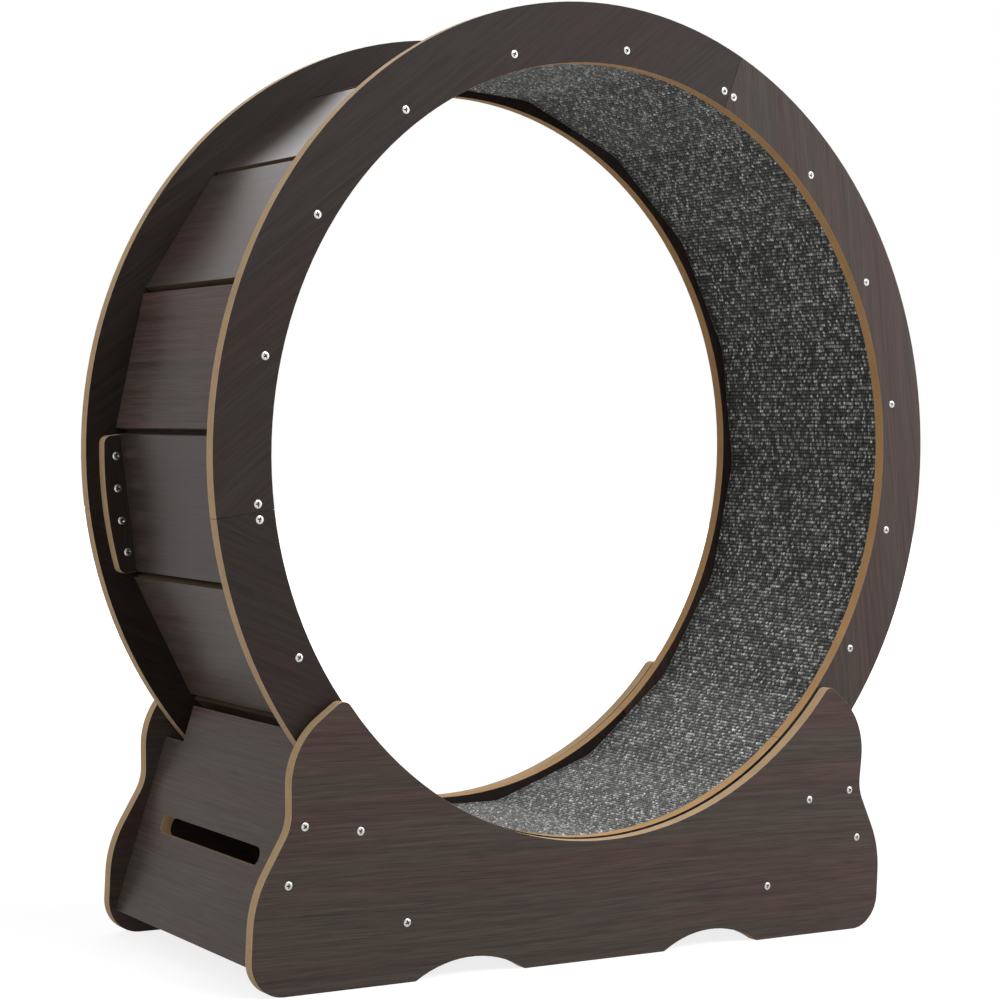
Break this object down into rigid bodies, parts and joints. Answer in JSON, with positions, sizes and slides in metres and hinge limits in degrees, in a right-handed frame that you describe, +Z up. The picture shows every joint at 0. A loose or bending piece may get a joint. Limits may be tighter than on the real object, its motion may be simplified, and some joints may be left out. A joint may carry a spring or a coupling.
{
  "type": "cat exercise wheel",
  "caption": "Free-standing running wheel for a cat: a carpeted runway of flat boards between two side rings, turning on grooved rollers in a low base of wavy side plates and leaning end panels.",
  "frame": {"origin": "on the floor, midway along and across the base", "axes": "+X along the base (right in the picture), +Y along the wheel's axis away from the viewer, +Z up"},
  "size_m": [0.91, 0.3164, 0.973],
  "materials": {
    "dark_board": "dark espresso wood-grain laminate with raw tan cut edges",
    "carpet": "charcoal low-loop ribbed carpet with light flecks",
    "screw_metal": "nickel-plated countersunk cross-head screws",
    "axle_steel": "plain steel rod and collars",
    "roller_nylon": "moulded nylon",
    "roller_rubber": "soft black rubber tread"
  },
  "bodies": {
    "base": {"axle_collars": "axle_steel", "front_base_screws": "screw_metal", "front_side_plate": "dark_board", "left_axle": "axle_steel", "left_end_panel": "dark_board", "left_stretcher": "dark_board", "rear_base_screws": "screw_metal", "rear_side_plate": "dark_board", "right_axle": "axle_steel", "right_end_panel": "dark_board", "right_stretcher": "dark_board"},
    "wheel": {"carpet_lining": "carpet", "front_joint_plate_left": "dark_board", "front_joint_plate_lower": "dark_board", "front_joint_plate_screws": "screw_metal", "front_joint_plate_upper": "dark_board", "front_ring_bottom": "dark_board", "front_ring_right": "dark_board", "front_ring_screws": "screw_metal", "front_ring_top": "dark_board", "rear_joint_plate_left": "dark_board", "rear_joint_plate_lower": "dark_board", "rear_joint_plate_screws": "screw_metal", "rear_joint_plate_upper": "dark_board", "rear_ring_bottom": "dark_board", "rear_ring_right": "dark_board", "rear_ring_screws": "screw_metal", "rear_ring_top": "dark_board", "slat_01": "dark_board", "slat_02": "dark_board", "slat_03": "dark_board", "slat_04": "dark_board", "slat_05": "dark_board", "slat_06": "dark_board", "slat_07": "dark_board", "slat_08": "dark_board", "slat_09": "dark_board", "slat_10": "dark_board", "slat_11": "dark_board", "slat_12": "dark_board", "slat_13": "dark_board", "slat_14": "dark_board", "slat_15": "dark_board", "slat_16": "dark_board", "slat_17": "dark_board", "slat_18": "dark_board"},
    "front_left_roller_body": {"front_left_roller": "roller_nylon", "front_left_roller_tyre": "roller_rubber"},
    "front_right_roller_body": {"front_right_roller": "roller_nylon", "front_right_roller_tyre": "roller_rubber"},
    "rear_left_roller_body": {"rear_left_roller": "roller_nylon", "rear_left_roller_tyre": "roller_rubber"},
    "rear_right_roller_body": {"rear_right_roller": "roller_nylon", "rear_right_roller_tyre": "roller_rubber"}
  },
  "joints": [
    {"name": "wheel_spin", "type": "hinge", "parent": "base", "child": "wheel", "pos_m": [0, 0, 0.518], "axis": [0, 1, 0], "continuous": true},
    {"name": "front_left_roller_spin", "type": "hinge", "parent": "base", "child": "front_left_roller_body", "pos_m": [-0.28945, -0.136, 0.14885], "axis": [0, 1, 0], "continuous": true},
    {"name": "front_right_roller_spin", "type": "hinge", "parent": "base", "child": "front_right_roller_body", "pos_m": [0.28945, -0.136, 0.14885], "axis": [0, 1, 0], "continuous": true},
    {"name": "rear_left_roller_spin", "type": "hinge", "parent": "base", "child": "rear_left_roller_body", "pos_m": [-0.28945, 0.136, 0.14885], "axis": [0, 1, 0], "continuous": true},
    {"name": "rear_right_roller_spin", "type": "hinge", "parent": "base", "child": "rear_right_roller_body", "pos_m": [0.28945, 0.136, 0.14885], "axis": [0, 1, 0], "continuous": true}
  ],
  "couplings": [
    {"joint": "front_left_roller_spin", "follows": "wheel_spin", "ratio": -32.971},
    {"joint": "front_right_roller_spin", "follows": "wheel_spin", "ratio": -32.971},
    {"joint": "rear_left_roller_spin", "follows": "wheel_spin", "ratio": -32.971},
    {"joint": "rear_right_roller_spin", "follows": "wheel_spin", "ratio": -32.971}
  ]
}
